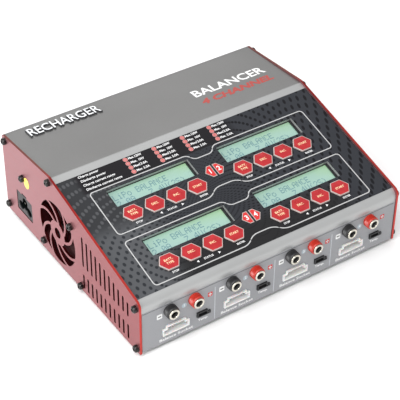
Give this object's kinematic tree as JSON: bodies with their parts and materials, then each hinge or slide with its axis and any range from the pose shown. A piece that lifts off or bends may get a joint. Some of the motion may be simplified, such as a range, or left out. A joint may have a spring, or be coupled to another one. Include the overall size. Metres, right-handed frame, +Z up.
{
  "type": "balance battery charger",
  "caption": "Four-channel balance battery charger: sloped keypad and display panel, front output sockets, side fan and mains inlet between red side plates.",
  "frame": {"origin": "on the ground under the middle of the whole box, sockets and screw heads included", "axes": "+X to the right as seen from the front, +Y to the rear, +Z up; the output sockets face -Y"},
  "size_m": [0.2156, 0.1858, 0.0735],
  "materials": {
    "backlight": "diffuse",
    "black_plastic": "moulded",
    "black_screw": "black oxide, worn bright",
    "brass_post": "plated",
    "capacitor_sleeve": "shrink sleeve",
    "circuit_board": "solder mask",
    "copper_wire": "enamelled copper",
    "cover_grey": "fine satin grey coat",
    "ferrite": "sintered",
    "grey_label": "semi-matte printed film",
    "grey_plastic": "moulded",
    "heatsink_aluminium": "plain",
    "key_red": "smooth satin",
    "lcd_glass": "clear over a lit green-blue panel",
    "lcd_steel": "black",
    "nickel": "bright nickel",
    "printed_overlay": "semi-matte printed film",
    "red_anodised": "satin anodised",
    "red_plastic": "moulded",
    "rubber_black": "matte",
    "sticker_yellow": "paper label",
    "tin": "tinned",
    "white_nylon": "moulded",
    "winding_tape": "polyester tape"
  },
  "bodies": {
    "case": {"top_cover": "cover_grey", "base_tray": "cover_grey", "left_plate": "red_anodised", "right_plate": "red_anodised", "panel_overlay": "printed_overlay", "front_label": "grey_label", "tact_switches": "black_plastic", "lcd_frame_1": "lcd_steel", "lcd_frame_2": "lcd_steel", "lcd_frame_3": "lcd_steel", "lcd_frame_4": "lcd_steel", "lcd_glass_1": "lcd_glass", "lcd_glass_2": "lcd_glass", "lcd_glass_3": "lcd_glass", "lcd_glass_4": "lcd_glass", "lcd_backlights": "backlight", "control_board": "circuit_board", "control_spacers": "brass_post", "jack_insulators_black": "black_plastic", "jack_insulators_red": "red_plastic", "jack_sleeves": "nickel", "jack_nuts": "nickel", "balance_sockets": "white_nylon", "temp_sockets": "black_plastic", "socket_pins": "tin", "output_board": "circuit_board", "inlet_body": "grey_plastic", "inlet_pins": "nickel", "fan_frame": "black_plastic", "plate_screws": "black_screw", "fan_screws": "black_screw", "fan_nuts": "nickel", "seal_sticker": "sticker_yellow", "main_board": "circuit_board", "board_posts": "brass_post", "transformer_core": "ferrite", "transformer_winding": "winding_tape", "bulk_capacitors": "capacitor_sleeve", "mains_choke": "copper_wire", "heatsinks": "heatsink_aluminium", "channel_inductors": "copper_wire", "feet": "rubber_black", "base_screws": "black_screw"},
    "fan_rotor": {"fan_rotor": "black_plastic"},
    "key_1_type": {"key_1_type": "key_red"},
    "key_1_down": {"key_1_down": "key_red"},
    "key_1_up": {"key_1_up": "key_red"},
    "key_1_start": {"key_1_start": "key_red"},
    "key_2_type": {"key_2_type": "key_red"},
    "key_2_down": {"key_2_down": "key_red"},
    "key_2_up": {"key_2_up": "key_red"},
    "key_2_start": {"key_2_start": "key_red"},
    "key_3_type": {"key_3_type": "key_red"},
    "key_3_down": {"key_3_down": "key_red"},
    "key_3_up": {"key_3_up": "key_red"},
    "key_3_start": {"key_3_start": "key_red"},
    "key_4_type": {"key_4_type": "key_red"},
    "key_4_down": {"key_4_down": "key_red"},
    "key_4_up": {"key_4_up": "key_red"},
    "key_4_start": {"key_4_start": "key_red"}
  },
  "joints": [
    {"name": "fan_spin", "type": "hinge", "parent": "case", "child": "fan_rotor", "pos_m": [-0.095, 0.0174, 0.031], "axis": [1, 0, 0], "continuous": true},
    {"name": "press_1_type", "type": "slide", "parent": "case", "child": "key_1_type", "axis": [0, 0.2375, -0.9714], "range_m": [0, 0.0005], "stiffness_N_per_m": 2000, "springref_m": -0.0003},
    {"name": "press_1_down", "type": "slide", "parent": "case", "child": "key_1_down", "axis": [0, 0.2375, -0.9714], "range_m": [0, 0.0005], "stiffness_N_per_m": 2000, "springref_m": -0.0003},
    {"name": "press_1_up", "type": "slide", "parent": "case", "child": "key_1_up", "axis": [0, 0.2375, -0.9714], "range_m": [0, 0.0005], "stiffness_N_per_m": 2000, "springref_m": -0.0003},
    {"name": "press_1_start", "type": "slide", "parent": "case", "child": "key_1_start", "axis": [0, 0.2375, -0.9714], "range_m": [0, 0.0005], "stiffness_N_per_m": 2000, "springref_m": -0.0003},
    {"name": "press_2_type", "type": "slide", "parent": "case", "child": "key_2_type", "axis": [0, 0.2375, -0.9714], "range_m": [0, 0.0005], "stiffness_N_per_m": 2000, "springref_m": -0.0003},
    {"name": "press_2_down", "type": "slide", "parent": "case", "child": "key_2_down", "axis": [0, 0.2375, -0.9714], "range_m": [0, 0.0005], "stiffness_N_per_m": 2000, "springref_m": -0.0003},
    {"name": "press_2_up", "type": "slide", "parent": "case", "child": "key_2_up", "axis": [0, 0.2375, -0.9714], "range_m": [0, 0.0005], "stiffness_N_per_m": 2000, "springref_m": -0.0003},
    {"name": "press_2_start", "type": "slide", "parent": "case", "child": "key_2_start", "axis": [0, 0.2375, -0.9714], "range_m": [0, 0.0005], "stiffness_N_per_m": 2000, "springref_m": -0.0003},
    {"name": "press_3_type", "type": "slide", "parent": "case", "child": "key_3_type", "axis": [0, 0.2375, -0.9714], "range_m": [0, 0.0005], "stiffness_N_per_m": 2000, "springref_m": -0.0003},
    {"name": "press_3_down", "type": "slide", "parent": "case", "child": "key_3_down", "axis": [0, 0.2375, -0.9714], "range_m": [0, 0.0005], "stiffness_N_per_m": 2000, "springref_m": -0.0003},
    {"name": "press_3_up", "type": "slide", "parent": "case", "child": "key_3_up", "axis": [0, 0.2375, -0.9714], "range_m": [0, 0.0005], "stiffness_N_per_m": 2000, "springref_m": -0.0003},
    {"name": "press_3_start", "type": "slide", "parent": "case", "child": "key_3_start", "axis": [0, 0.2375, -0.9714], "range_m": [0, 0.0005], "stiffness_N_per_m": 2000, "springref_m": -0.0003},
    {"name": "press_4_type", "type": "slide", "parent": "case", "child": "key_4_type", "axis": [0, 0.2375, -0.9714], "range_m": [0, 0.0005], "stiffness_N_per_m": 2000, "springref_m": -0.0003},
    {"name": "press_4_down", "type": "slide", "parent": "case", "child": "key_4_down", "axis": [0, 0.2375, -0.9714], "range_m": [0, 0.0005], "stiffness_N_per_m": 2000, "springref_m": -0.0003},
    {"name": "press_4_up", "type": "slide", "parent": "case", "child": "key_4_up", "axis": [0, 0.2375, -0.9714], "range_m": [0, 0.0005], "stiffness_N_per_m": 2000, "springref_m": -0.0003},
    {"name": "press_4_start", "type": "slide", "parent": "case", "child": "key_4_start", "axis": [0, 0.2375, -0.9714], "range_m": [0, 0.0005], "stiffness_N_per_m": 2000, "springref_m": -0.0003}
  ]
}
